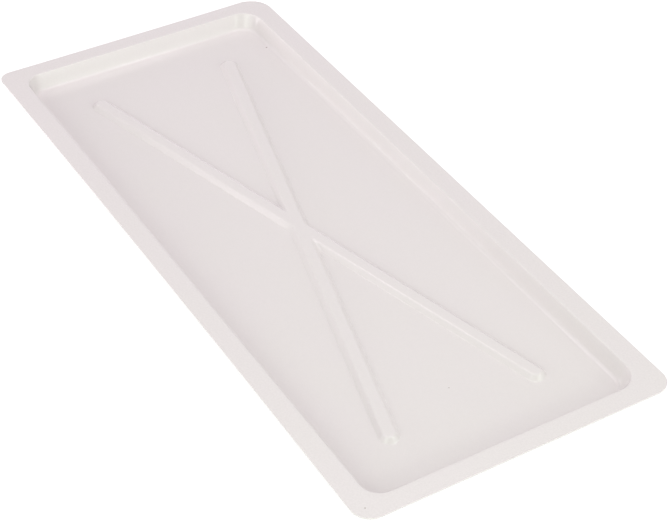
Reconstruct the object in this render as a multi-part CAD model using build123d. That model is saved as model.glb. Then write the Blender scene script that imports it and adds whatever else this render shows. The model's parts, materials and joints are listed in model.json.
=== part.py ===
from build123d import *
import math
import os

# Developing tray, vacuum formed from one plastic sheet. Millimetres.
# Origin under the middle of the floor, +X along the tray, +Y across it, +Z up.

# Sheet
sheet = 1.5  # thickness, the same everywhere

# Flange, the flat border cut from the sheet
length = 700.0
width = 300.0
flange_corner = 18.0  # outer corner radius
flange_end = 18.3  # flange width at the two short ends
flange_side = 20.0  # flange width along the two long sides

# Pan
depth = 15.4  # flange top down to the floor
wall_run = 6.6  # how far each wall leans out from foot to rim
wall_corner = 18.0  # corner radius of the wall, at foot and rim alike
rim_edge = 1.1  # radius on top, where the wall meets the flange
rim_bend = 0.3  # radius under the flange there
foot_bend = 4.5  # radius inside the pan, where the wall meets the floor

# Crossed ribs, raised in the floor and hollow underneath
rib_height = 4.2
rib_width = 18.6  # across the feet of one rib
rib_slope = 45.0  # degrees, of the rib's sides and ends
rib_shoulder = 1.5  # radius inside the hollow, along the rib's top edges
rib_foot = 1.2  # radius where the rib's sides meet the floor
rib_gap_end = 47.8  # from a rib's end to the foot of the end wall
rib_gap_side = 49.2  # from a rib's end to the foot of the side wall, before the shift
rib_shift = 2.5  # how far the crossing lies off the tray's middle, towards +Y

# Levels
floor_top = sheet
flange_top = floor_top + depth
flange_under = flange_top - sheet

# Outlines where the surfaces inside the pan would meet as sharp corners
rim_length = length - 2 * flange_end
rim_width = width - 2 * flange_side
foot_length = rim_length - 2 * wall_run
foot_width = rim_width - 2 * wall_run

# The outer skin stands off the inner one by the sheet's thickness, square to the wall.
# At the floor and at the flange this widens the outline by the same amount.
wall_lean = math.atan2(wall_run, depth)
skin = sheet * math.tan(math.pi / 4 - wall_lean / 2)

# Each rib runs from corner to corner of the floor, short of the walls
rib_end_x = foot_length / 2 - rib_gap_end
rib_end_y = foot_width / 2 - rib_gap_side
rib_length = 2 * math.hypot(rib_end_x, rib_end_y)
rib_angle = math.degrees(math.atan2(rib_end_y, rib_end_x))


def outline(size_x, size_y, corner, level):
    """Rounded rectangle lying at a height."""
    return Pos(0, 0, level) * RectangleRounded(size_x, size_y, corner)


def edges_at(shape, level, half_x=length, half_y=width):
    """Edges lying flat at a height, with their middle inside a half length and half width."""
    flat = shape.edges().filter_by_position(Axis.Z, level - 1e-4, level + 1e-4)
    return [edge for edge in flat if abs((edge @ 0.5).X) < half_x and abs((edge @ 0.5).Y) < half_y]


def pocket():
    """The space inside the pan, with the foot bend."""
    foot = outline(foot_length, foot_width, wall_corner, floor_top)
    rim = outline(rim_length, rim_width, wall_corner, flange_top)
    space = loft([foot, rim], ruled=True)
    return fillet(edges_at(space, floor_top), foot_bend)


def pan_block():
    """The pan's outer skin, filled solid."""
    foot = outline(foot_length + 2 * skin, foot_width + 2 * skin, wall_corner + skin, 0)
    rim = outline(rim_length + 2 * skin, rim_width + 2 * skin, wall_corner + skin, flange_under)
    block = loft([foot, rim], ruled=True)
    return fillet(edges_at(block, 0), foot_bend + sheet)


def plain_pan():
    """Flange, walls and a flat floor, bent at the rim above and below."""
    half_x = length / 2 - flange_end / 2
    half_y = width / 2 - flange_side / 2
    plate = extrude(outline(length, width, flange_corner, flange_under), sheet)
    block = pan_block() + plate
    block = fillet(edges_at(block, flange_under, half_x, half_y), rim_bend)
    shell = block - pocket()
    return fillet(edges_at(shell, flange_top, half_x, half_y), rim_edge)


def bead(wide, height, shoulder):
    """One straight rib along X with round sloping ends, standing on the underside level."""
    foot = SlotOverall(rib_length - rib_width + wide, wide)
    solid = extrude(foot, height, taper=90 - rib_slope)
    return fillet(edges_at(solid, height), shoulder)


def crossed(rib):
    """The same rib laid along both diagonals, crossing a little off the middle."""
    middle = Pos(0, rib_shift, 0)
    return middle * Rot(0, 0, rib_angle) * rib + middle * Rot(0, 0, -rib_angle) * rib


def tray():
    """The whole tray, with the two ribs pressed up out of its floor."""
    slope = math.radians(rib_slope)
    # the raised form starts at the underside too, so its sides come through the sheet
    raised_wide = rib_width + 2 * sheet / math.tan(slope)
    hollow_wide = rib_width - 2 * sheet * math.tan(slope / 2)
    raised = crossed(bead(raised_wide, rib_height + sheet, rib_shoulder + sheet))
    hollow = crossed(bead(hollow_wide, rib_height, rib_shoulder))
    ribbed = plain_pan() + raised - hollow
    half_x = rib_end_x + rib_width / 2
    half_y = rib_end_y + rib_width / 2 + rib_shift
    ribbed = fillet(edges_at(ribbed, floor_top, half_x, half_y), rib_foot)
    return fillet(edges_at(ribbed, 0, half_x, half_y), rib_foot + sheet)


os.makedirs("parts", exist_ok=True)
export_step(tray(), "parts/tray.step")
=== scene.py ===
import bpy
import bmesh
import json
from math import atan2, cos, hypot, pi, radians, sin, tan
from mathutils import Matrix, Vector, noise


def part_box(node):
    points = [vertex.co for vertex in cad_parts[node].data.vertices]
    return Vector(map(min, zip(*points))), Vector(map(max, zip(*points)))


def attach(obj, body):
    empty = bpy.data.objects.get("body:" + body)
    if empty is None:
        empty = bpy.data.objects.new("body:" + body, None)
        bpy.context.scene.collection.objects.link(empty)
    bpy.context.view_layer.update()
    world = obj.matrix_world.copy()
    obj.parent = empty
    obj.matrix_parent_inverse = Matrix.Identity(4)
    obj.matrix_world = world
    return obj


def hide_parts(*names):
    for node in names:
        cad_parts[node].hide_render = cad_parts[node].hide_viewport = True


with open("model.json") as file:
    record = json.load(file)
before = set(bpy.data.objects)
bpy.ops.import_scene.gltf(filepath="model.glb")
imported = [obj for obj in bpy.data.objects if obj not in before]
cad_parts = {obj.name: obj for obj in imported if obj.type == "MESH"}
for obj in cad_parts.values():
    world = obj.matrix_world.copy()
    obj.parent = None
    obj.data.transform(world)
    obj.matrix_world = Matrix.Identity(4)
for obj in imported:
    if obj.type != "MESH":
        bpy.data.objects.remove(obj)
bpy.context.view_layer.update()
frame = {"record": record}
scene = bpy.context.scene

trayLow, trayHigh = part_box("tray")
flangeRest = next(m for m in frame["record"]["mounts"] if m["name"] == "flange_rest")

# the formed sheet, in metres; outline, height and thickness come from the frame
tray = {
    "halfLength": trayHigh.x,
    "halfWidth": trayHigh.y,
    "top": trayHigh.z,
    "sheet": trayHigh.z - flangeRest["pos_m"][2],
    "flangeEnd": 0.0183,     # width of the flange at the short ends
    "flangeSide": 0.0200,    # and along the sides
    "wallRun": 0.0066,       # how far a wall leans out
    "rimEdge": 0.0011,       # radius on top of the bend between wall and flange
    "rimUnder": 0.0003,      # and below it
    "footBend": 0.0045,      # radius inside the pan, between floor and wall
    "sideBow": 0.0018,       # the +Y edge was cut a little hollow
    "endBow": 0.0007,        # the +X edge too
    "droop": 0.00025,        # slow waves of the flange, downwards only
    "belly": 0.00035,        # slow swells of the floor, upwards only
    "edgeRound": 0.00015,    # scraped corners of the cut edge
}

# how the small faults spread over the sheet
faults = {
    "wavesX": 7,             # slow waves in a metre, along the tray
    "wavesY": 11,            # and across it
    "wavesPick": 0.3,        # which of the many patterns of waves
    "bellyFade": 0.03,       # the floor's swell fades out this far from the walls
}

# corner radii at the wall's foot, at the rim and on the cut flange, each corner a little its own
corners = {
    (1, 1): (0.0100, 0.0180, 0.0130),
    (1, -1): (0.0190, 0.0215, 0.0240),
    (-1, -1): (0.0180, 0.0220, 0.0170),
    (-1, 1): (0.0180, 0.0180, 0.0175),
}

# the crossed ribs
rib = {
    "height": 0.0042,
    "width": 0.0186,      # foot to foot
    "slope": radians(45),
    "shoulder": 0.0030,
    "foot": 0.0012,
    "gapEnd": 0.0478,     # from the end wall's foot
    "gapSide": 0.0492,    # from the side wall's foot
    "shift": 0.0025,      # the crossing's place towards +Y
    "blend": 0.004,       # how softly the two ribs run into each other
}

# how finely the sheet is divided
mesh = {
    "along": 36,          # steps along one side of a half rib
    "turn": (5, 18, 9),   # steps up to a corner, round it and past it; a rib's end has their sum
    "bend": 7,            # steps across each bend
    "floor": 14,          # rows between the ribs and the walls
    "crowd": 1.5,         # how much the steps crowd together towards the crossing
    "ribTop": (0, 0.35, 0.7),                             # rows over a rib's flat top, as shares
    "wall": (0.33, 0.67),                                 # rows up the straight wall
    "flange": (0.17, 0.33, 0.5, 0.67, 0.83, 0.96, 1.0),   # rows across the flange
    "weld": 2e-6,         # points closer than this are joined
    "sliver": 1e-7,       # edges shorter than this are dropped
}

footX = tray["halfLength"] - tray["flangeEnd"] - tray["wallRun"]
footY = tray["halfWidth"] - tray["flangeSide"] - tray["wallRun"]
depth = tray["top"] - tray["sheet"]
wallTurn = pi / 2 - atan2(tray["wallRun"], depth)
skin = tray["sheet"] * tan(wallTurn / 2)    # the outside stands off the inside by this much
ribEndX = footX - rib["gapEnd"]
ribEndY = footY - rib["gapSide"]
ribAngle = atan2(ribEndY, ribEndX)
ribReach = hypot(ribEndX, ribEndY) - rib["width"] / 2
ribAlong = Vector((cos(ribAngle), sin(ribAngle)))
ribAcross = Vector((-sin(ribAngle), cos(ribAngle)))


# distances from a rib's middle line, each with the height of its surface there
def ribSection(under):
    slope, thick = rib["slope"], tray["sheet"] if under else 0
    shoulder, foot = rib["shoulder"] - thick, rib["foot"] + thick
    half = rib["width"] / 2 - thick * tan(slope / 2)
    flat = half - rib["height"] / tan(slope) - shoulder * tan(slope / 2)
    end = half + foot * tan(slope / 2)
    rows = [(flat * f, rib["height"]) for f in mesh["ribTop"]]
    for i in range(mesh["bend"] + 1):
        a = slope * i / mesh["bend"]
        rows.append((flat + shoulder * sin(a), rib["height"] - shoulder * (1 - cos(a))))
    for i in range(mesh["bend"] + 1):
        a = slope * (1 - i / mesh["bend"])
        rows.append((end - foot * sin(a), foot * (1 - cos(a))))
    return rows


# how far each row stands out from the wall's foot line, with its height above the floor
def wallSection(under):
    footBend = tray["footBend"] + (tray["sheet"] if under else 0)
    rimBend = tray["rimUnder"] if under else tray["rimEdge"]
    base = skin if under else 0
    start = base - footBend * tan(wallTurn / 2)
    end = base + tray["wallRun"] + rimBend * tan(wallTurn / 2)
    foot, rim = [], []
    for i in range(mesh["bend"] + 1):
        a = wallTurn * i / mesh["bend"]
        foot.append((start + footBend * sin(a), footBend * (1 - cos(a))))
        rim.insert(0, (end - rimBend * sin(a), depth - rimBend * (1 - cos(a))))
    (lowOut, lowUp), (highOut, highUp) = foot[-1], rim[0]
    wall = [(lowOut + (highOut - lowOut) * f, lowUp + (highUp - lowUp) * f) for f in mesh["wall"]]
    return foot + wall + rim


# how high a rib stands at a distance from its middle line
def ribHeight(distance, section):
    for (a, high), (b, low) in zip(section, section[1:]):
        if distance <= b:
            return high + (low - high) * max(0, distance - a) / (b - a) if b > a else high
    return 0


# both ribs' height over a point of one quarter, measured from the crossing
def floorHeight(x, y, section):
    gaps = []
    for side in (1, -1):
        p = Vector((x, y * side))
        p = p if p.dot(ribAlong) > 0 else -p
        past = p.dot(ribAlong) - ribReach
        gaps.append(hypot(max(0, past), p.dot(ribAcross)))
    near = max(0, rib["blend"] - abs(gaps[0] - gaps[1])) / rib["blend"]
    return ribHeight(min(gaps) - near * near * rib["blend"] / 4, section)


def steps(count, start, stop, ease=1.0):
    return [start + (stop - start) * (i / count) ** ease for i in range(count + 1)]


# one quarter: out along the rib's +Y side, round its end, back along its other side
def ribRow(offset):
    end = ribAlong * ribReach
    there = steps(mesh["along"], offset * tan(ribAngle), ribReach, mesh["crowd"])
    home = steps(mesh["along"], offset / tan(ribAngle), ribReach, mesh["crowd"])
    out = [ribAlong * s + ribAcross * offset for s in there]
    back = [ribAlong * s - ribAcross * offset for s in home]
    ends = sum(mesh["turn"])
    cap = []
    for i in range(1, ends):
        a = pi / 2 - pi * i / ends
        cap.append(end + (ribAlong * cos(a) + ribAcross * sin(a)) * offset)
    return out + cap + back[::-1]


# one quarter of a rounded rectangle, from the +Y side round to the +X end
def outlineRow(halfX, halfY, corner):
    before, around, after = mesh["turn"]
    turnX, turnY = ribEndX - rib["width"] / 2, ribEndY - rib["width"] / 2
    xs = steps(mesh["along"], 0, turnX) + steps(before, turnX, halfX - corner)[1:]
    row = [Vector((x, halfY)) for x in xs]
    for i in range(1, around):
        a = pi / 2 * (1 - i / around)
        row.append(Vector((halfX - corner + corner * cos(a), halfY - corner + corner * sin(a))))
    ys = steps(after, halfY - corner, turnY) + steps(mesh["along"], turnY, 0)[1:]
    return row + [Vector((halfX, y)) for y in ys]


# rows of one quarter from the rib's top out to the cut edge; each has its points,
# its share of the ribs' shift and how far across the flange it lies
def quarterRows(radii, under):
    footCorner, rimCorner, flangeCorner = radii
    section, wall = ribSection(under), wallSection(under)
    base = 0 if under else tray["sheet"]
    more = skin if under else 0
    flat = [(ribRow(d), 1) for d, _ in section]
    last = flat[-1][0]
    first = outlineRow(footX + wall[0][0], footY + wall[0][0], footCorner + more)
    for i in range(1, mesh["floor"]):
        f = i / mesh["floor"]
        flat.append(([a.lerp(b, f) for a, b in zip(last, first)], 1 - f))
    rows = []
    for row, share in flat:
        rows.append(([(p.x, p.y, base + floorHeight(p.x, p.y, section)) for p in row], share, 0))
    for out, up in wall:
        corner = more + footCorner + (rimCorner - footCorner) * up / depth
        row = outlineRow(footX + out, footY + out, corner)
        rows.append(([(p.x, p.y, base + up) for p in row], 0, 0))
    inX, inY = footX + wall[-1][0], footY + wall[-1][0]
    for f in mesh["flange"]:
        halfX = inX + (tray["halfLength"] - inX) * f
        halfY = inY + (tray["halfWidth"] - inY) * f
        row = outlineRow(halfX, halfY, (rimCorner + more) * (1 - f) + flangeCorner * f)
        rows.append(([(p.x, p.y, base + depth) for p in row], 0, f))
    return rows


# a point of the sheet, with the small faults that forming and cutting leave
def settled(x, y, z, ribShare, across):
    y += rib["shift"] * ribShare
    wave = Vector((x * faults["wavesX"], y * faults["wavesY"], faults["wavesPick"]))
    slow = 0.5 + 0.5 * noise.noise(wave)
    if across:
        if y > 0:
            y -= tray["sideBow"] * across * max(0, 1 - (x / tray["halfLength"]) ** 2)
        if x > 0:
            x -= tray["endBow"] * across * max(0, 1 - (y / tray["halfWidth"]) ** 2)
        z -= tray["droop"] * across * slow
    else:
        edge = min(footX - abs(x), footY - abs(y))
        z += tray["belly"] * slow * min(1, max(0, edge) / faults["bellyFade"]) ** 2
    return x, y, z


def addQuarter(bm, sx, sy, radii):
    grids = []
    for under in (False, True):
        grid = []
        for row, ribShare, across in quarterRows(radii, under):
            grid.append([bm.verts.new(settled(x * sx, y * sy, z, ribShare, across)) for x, y, z in row])
        grids.append(grid)
    top, bottom = grids
    for a, b in list(zip(top, top[1:])) + list(zip(bottom, bottom[1:])) + [(top[-1], bottom[-1])]:
        for k in range(len(a) - 1):
            bm.faces.new((a[k], b[k], b[k + 1], a[k + 1]))


def buildTray():
    bm = bmesh.new()
    for (sx, sy), radii in corners.items():
        addQuarter(bm, sx, sy, radii)
    bmesh.ops.remove_doubles(bm, verts=bm.verts, dist=mesh["weld"])
    bmesh.ops.dissolve_degenerate(bm, dist=mesh["sliver"], edges=bm.edges)
    bmesh.ops.recalc_face_normals(bm, faces=bm.faces)
    loose = [e for e in bm.edges if len(e.link_faces) != 2]
    print("tray sheet closed, open edges:", len(loose), "volume mm3:", round(bm.calc_volume() * 1e9))
    data = bpy.data.meshes.new("traySheet")
    bm.to_mesh(data)
    bm.free()
    for face in data.polygons:
        face.use_smooth = True
    piece = bpy.data.objects.new("traySheet", data)
    scene.collection.objects.link(piece)
    scraped = piece.modifiers.new("scraped edge", "BEVEL")
    scraped.width = tray["edgeRound"]
    scraped.segments = 2
    scraped.limit_method = "ANGLE"
    scraped.angle_limit = radians(60)
    scraped.harden_normals = True
    return piece


# one white plastic all over: the flange keeps the grain of the raw sheet, the pan is stretched smoother
plastic = {
    "colour": (0.725, 0.680, 0.680, 1),
    "yellowed": (0.722, 0.690, 0.668, 1),   # where it has aged a little more
    "patch": 0.060,          # size of those patches
    "mottle": 0.55,          # how rough the edges of patches, grain and ripple are
    "roughness": 0.23,
    "flangeRoughness": 0.36,
    "flangeFrom": 0.0009,    # the flange's finish starts this far below its top
    "flangeFull": 0.0004,    # and is complete here
    "flangePaintedShade": 0.012,   # painted shade: the flange's colour is made this much darker, in place of less light falling on it
    "grain": 0.0017,         # size of the flange's grain
    "grainShade": 0.140,     # how much it lightens and darkens the colour
    "grainInPan": 0.3,       # the share of that shade left in the pan
    "grainDeep": 0.00006,    # and its depth
    "ripple": 0.004,         # size of the orange peel in the pan
    "rippleShade": 0.028,
    "rippleDeep": 0.000008,
    "scuffLong": 0.060,      # hair scuffs from tongs and wiping
    "scuffWide": 0.0009,
    "scuffTurns": (radians(12), radians(-31)),   # the two ways they run
    "scuffFrom": 0.70,       # a scuff starts at this share of the streaks' noise
    "scuffFull": 0.82,       # and is full at this one
    "scuffRough": 0.03,
    "speckColour": (0.26, 0.21, 0.17, 1),
}

# dark specks moulded into the sheet: place, and radius
specks = [
    ((0.2802, -0.1197, tray["sheet"]), 0.0007),
    ((-0.2794, -0.1264, tray["top"]), 0.0005),
    ((-0.2457, 0.0017, tray["sheet"]), 0.0005),
    ((-0.3369, 0.1392, tray["top"]), 0.0005),
]


def addNode(tree, kind, inputs, **settings):
    made = tree.nodes.new(kind)
    for name, value in settings.items():
        setattr(made, name, value)
    for name, value in inputs.items():
        if isinstance(value, bpy.types.NodeSocket):
            tree.links.new(value, made.inputs[name])
        else:
            made.inputs[name].default_value = value
    return made


def calc(tree, operation, *values):
    return addNode(tree, "ShaderNodeMath", dict(enumerate(values)), operation=operation).outputs[0]


def mixColours(tree, share, first, second):
    # sockets 6 and 7 are the mix node's two colours
    inputs = {0: share, 6: first, 7: second}
    return addNode(tree, "ShaderNodeMix", inputs, data_type="RGBA").outputs[2]


def noiseField(tree, place, size, detail):
    inputs = {"Vector": place, "Scale": 1 / size, "Detail": detail, "Roughness": plastic["mottle"]}
    return addNode(tree, "ShaderNodeTexNoise", inputs).outputs[0]


# 0 on the floor and walls, 1 on top of the flange
def flangeShare(tree, place):
    height = addNode(tree, "ShaderNodeSeparateXYZ", {"Vector": place}).outputs["Z"]
    start, full = tray["top"] - plastic["flangeFrom"], tray["top"] - plastic["flangeFull"]
    inputs = {"Value": height, "From Min": start, "From Max": full}
    return addNode(tree, "ShaderNodeMapRange", inputs, interpolation_type="SMOOTHSTEP").outputs[0]


# thin streaks running two ways over the pan
def scuffs(tree, place, flange):
    total = None
    for turn in plastic["scuffTurns"]:
        inputs = {"Vector": place, "Rotation": (0, 0, turn)}
        turned = addNode(tree, "ShaderNodeMapping", inputs).outputs[0]
        inputs = {"Vector": turned, "Scale": (1 / plastic["scuffLong"], 1 / plastic["scuffWide"], 1)}
        long = addNode(tree, "ShaderNodeMapping", inputs).outputs[0]
        field = addNode(tree, "ShaderNodeTexNoise", {"Vector": long, "Scale": 1.0, "Detail": 2.0}).outputs[0]
        inputs = {"Value": field, "From Min": plastic["scuffFrom"], "From Max": plastic["scuffFull"]}
        streak = addNode(tree, "ShaderNodeMapRange", inputs).outputs[0]
        total = streak if total is None else calc(tree, "MAXIMUM", total, streak)
    return calc(tree, "MULTIPLY", total, calc(tree, "SUBTRACT", 1.0, flange))


def speckShare(tree, place):
    total = None
    for spot, radius in specks:
        inputs = {0: place, 1: spot}
        gap = addNode(tree, "ShaderNodeVectorMath", inputs, operation="DISTANCE").outputs["Value"]
        dark = calc(tree, "LESS_THAN", gap, radius)
        total = dark if total is None else calc(tree, "MAXIMUM", total, dark)
    return total


def whitePlastic():
    material = bpy.data.materials.new("whitePlastic")
    material.use_nodes = True
    tree = material.node_tree
    shader = tree.nodes["Principled BSDF"]
    place = addNode(tree, "ShaderNodeTexCoord", {}).outputs["Object"]
    flange = flangeShare(tree, place)
    pan = calc(tree, "SUBTRACT", 1.0, flange)
    grain = noiseField(tree, place, plastic["grain"], 3.0)
    ripple = noiseField(tree, place, plastic["ripple"], 4.0)
    patch = noiseField(tree, place, plastic["patch"], 4.0)
    scuff = scuffs(tree, place, flange)

    # colour: aged patches, then the shade of grain, a painted shade over the whole flange and the shade of
    # ripple, then specks
    tone = mixColours(tree, patch, plastic["colour"], plastic["yellowed"])
    grainShade = calc(tree, "MULTIPLY", calc(tree, "SUBTRACT", grain, 0.5), plastic["grainShade"])
    rippleShade = calc(tree, "MULTIPLY", calc(tree, "SUBTRACT", ripple, 0.5), plastic["rippleShade"])
    inPan = plastic["grainInPan"]
    grainShare = calc(tree, "MULTIPLY_ADD", flange, 1 - inPan, inPan)
    shade = calc(tree, "MULTIPLY_ADD", grainShade, grainShare, 1.0)
    # painted shade: the whole flange top is darkened in colour
    shade = calc(tree, "MULTIPLY_ADD", flange, -plastic["flangePaintedShade"], shade)
    shade = calc(tree, "ADD", shade, calc(tree, "MULTIPLY", rippleShade, pan))
    inputs = {0: tone, "Scale": shade}
    shaded = addNode(tree, "ShaderNodeVectorMath", inputs, operation="SCALE").outputs["Vector"]
    colour = mixColours(tree, speckShare(tree, place), shaded, plastic["speckColour"])
    tree.links.new(colour, shader.inputs["Base Color"])

    # roughness: grainy flange, smoother pan with scuffs
    rough = plastic["flangeRoughness"] - plastic["roughness"]
    roughness = calc(tree, "MULTIPLY_ADD", flange, rough, plastic["roughness"])
    roughness = calc(tree, "ADD", roughness, calc(tree, "MULTIPLY", scuff, plastic["scuffRough"]))
    tree.links.new(roughness, shader.inputs["Roughness"])

    deep = calc(tree, "MULTIPLY", calc(tree, "MULTIPLY", grain, flange), plastic["grainDeep"])
    peel = calc(tree, "MULTIPLY", calc(tree, "MULTIPLY", ripple, pan), plastic["rippleDeep"])
    inputs = {"Height": calc(tree, "ADD", deep, peel), "Strength": 1.0, "Distance": 1.0}
    bump = addNode(tree, "ShaderNodeBump", inputs).outputs[0]
    tree.links.new(bump, shader.inputs["Normal"])
    return material


sheet = buildTray()
sheet.data.materials.append(whitePlastic())
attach(sheet, "root")
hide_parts("tray")
print("tray in white plastic,", len(sheet.data.polygons), "faces before its edge is scraped")


# a pale floor that glows a little, so that shadows on it stay faint
studio = {"floorHalf": 20.0, "floorColour": (0.35, 0.35, 0.35, 1), "floorRough": 0.9, "floorGlow": 0.72}


def studioFloor():
    bm = bmesh.new()
    bmesh.ops.create_grid(bm, x_segments=1, y_segments=1, size=studio["floorHalf"])
    data = bpy.data.meshes.new("studioFloor")
    bm.to_mesh(data)
    bm.free()
    floor = bpy.data.objects.new("studioFloor", data)
    scene.collection.objects.link(floor)
    material = bpy.data.materials.new("paleFloor")
    material.use_nodes = True
    shader = material.node_tree.nodes["Principled BSDF"]
    shader.inputs["Base Color"].default_value = studio["floorColour"]
    shader.inputs["Roughness"].default_value = studio["floorRough"]
    shader.inputs["Emission Color"].default_value = (1, 1, 1, 1)
    shader.inputs["Emission Strength"].default_value = studio["floorGlow"]
    data.materials.append(material)


studioFloor()
print("studio floor laid")

camera = {
    "aim": Vector((-0.05475, -0.00176, 0.0015)),
    "distance": 1.6456,
    "around": radians(148.943),
    "above": radians(39.375),
    "roll": radians(0.403),
    "lens": 99.16,
    "film": 36,
}


def addCamera():
    data = bpy.data.cameras.new("camera")
    data.lens = camera["lens"]
    data.sensor_width = camera["film"]
    eye = bpy.data.objects.new("camera", data)
    scene.collection.objects.link(eye)
    away = Vector((
        cos(camera["above"]) * cos(camera["around"]),
        cos(camera["above"]) * sin(camera["around"]),
        sin(camera["above"]),
    ))
    eye.location = camera["aim"] + away * camera["distance"]
    turn = away.to_track_quat("Z", "Y").to_matrix() @ Matrix.Rotation(camera["roll"], 3, "Z")
    eye.rotation_euler = turn.to_euler()
    scene.camera = eye


addCamera()

# the lights' colours: faintly green, faintly rose, and all but white
tints = {
    "leafy": (0.92, 1.04, 0.91),
    "rosy": (1.12, 0.95, 1.11),
    "pale": (1.02, 0.99, 1.02),
}

# what a softbox has unless it says otherwise: metres from the tray's middle, across and tall,
# and where along the tray it is turned to
usualBox = {"away": 1.7, "size": (0.8, 0.8), "aimX": 0}

# softboxes round the tray: degrees around from +X, degrees above the floor, watts
softboxes = {
    "nearEnd": {"around": 210, "above": 30, "power": 2.7, "tint": "leafy"},
    "nearEndLow": {"around": 180, "above": 12, "power": 3.0, "tint": "leafy"},
    "nearSideLow": {"around": 210, "above": 12, "power": 2.3, "tint": "rosy"},
    "nearSmall": {"around": 205, "above": 42, "size": (0.32, 0.32), "power": 1.1, "tint": "leafy"},
    "nearGlint": {"around": 215, "above": 50, "size": (0.20, 0.20), "power": 1.1, "tint": "leafy"},
    "ribEndGlint": {"around": 197, "above": 61, "size": (0.16, 0.16), "power": 0.7, "tint": "pale"},
    "nearGlintLow": {"around": 195, "above": 20, "size": (0.20, 0.20), "power": 0.8, "tint": "leafy"},
    "nearCorner": {"around": 240, "above": 30, "power": 1.1, "tint": "pale"},
    "sideHigh": {"around": 105, "above": 55, "power": 1.6, "tint": "pale"},
    "sideNear": {"around": 120, "above": 30, "power": 5.4, "tint": "leafy"},
    "sideLow": {"around": 97, "above": 12, "power": 3.2, "tint": "leafy"},
    "cornerFill": {"around": 140, "above": 12, "size": (0.60, 0.60), "power": 0.9, "tint": "pale"},
    "ribShoulder": {"around": 45, "above": 59, "size": (0.30, 0.30), "power": 1.7, "tint": "rosy"},
    "ribSlope": {"around": 61, "above": 30, "size": (0.25, 0.25), "power": 1.0, "tint": "rosy"},
    "farHigh": {"around": 0, "above": 70, "power": 3.5, "tint": "rosy"},
    "farLow": {"around": 330, "above": 12, "power": 1.3, "tint": "rosy"},
    "overhead": {"around": 290, "above": 70, "size": (0.32, 0.32), "power": 3.2, "tint": "pale"},
    "overheadSmall": {"around": 285, "above": 72, "size": (0.16, 0.16), "power": 1.6, "tint": "pale"},
    "cornerLow": {
        "around": 276, "above": 9, "away": 0.85, "size": (0.40, 0.16),
        "power": 0.22, "tint": "pale", "aimX": 0.3,
    },
    "farSide": {
        "around": 55, "above": 6, "away": 0.80, "size": (0.40, 0.11),
        "power": 0.48, "tint": "rosy", "aimX": 0.3,
    },
    "farCorner": {
        "around": 36, "above": 6, "away": 0.91, "size": (0.40, 0.11),
        "power": 0.8, "tint": "pale", "aimX": 0.3,
    },
}
roomStrength = 0.42


def addLights():
    for name, own in softboxes.items():
        box = {**usualBox, **own}
        data = bpy.data.lights.new(name, "AREA")
        data.shape = "RECTANGLE"
        data.size, data.size_y = box["size"]
        data.energy = box["power"]
        data.color = tints[box["tint"]]
        lamp = bpy.data.objects.new(name, data)
        scene.collection.objects.link(lamp)
        around, above = radians(box["around"]), radians(box["above"])
        away = Vector((cos(above) * cos(around), cos(above) * sin(around), sin(above)))
        lamp.location = away * box["away"]
        aim = Vector((box["aimX"], 0, 0))
        lamp.rotation_euler = (lamp.location - aim).to_track_quat("Z", "Y").to_euler()


addLights()
print("camera and", len(softboxes), "softboxes placed")

world = bpy.data.worlds.new("studio")
world.use_nodes = True
world.node_tree.nodes["Background"].inputs["Color"].default_value = (1, 1, 1, 1)
world.node_tree.nodes["Background"].inputs["Strength"].default_value = roomStrength
scene.world = world
scene.view_settings.view_transform = "Standard"
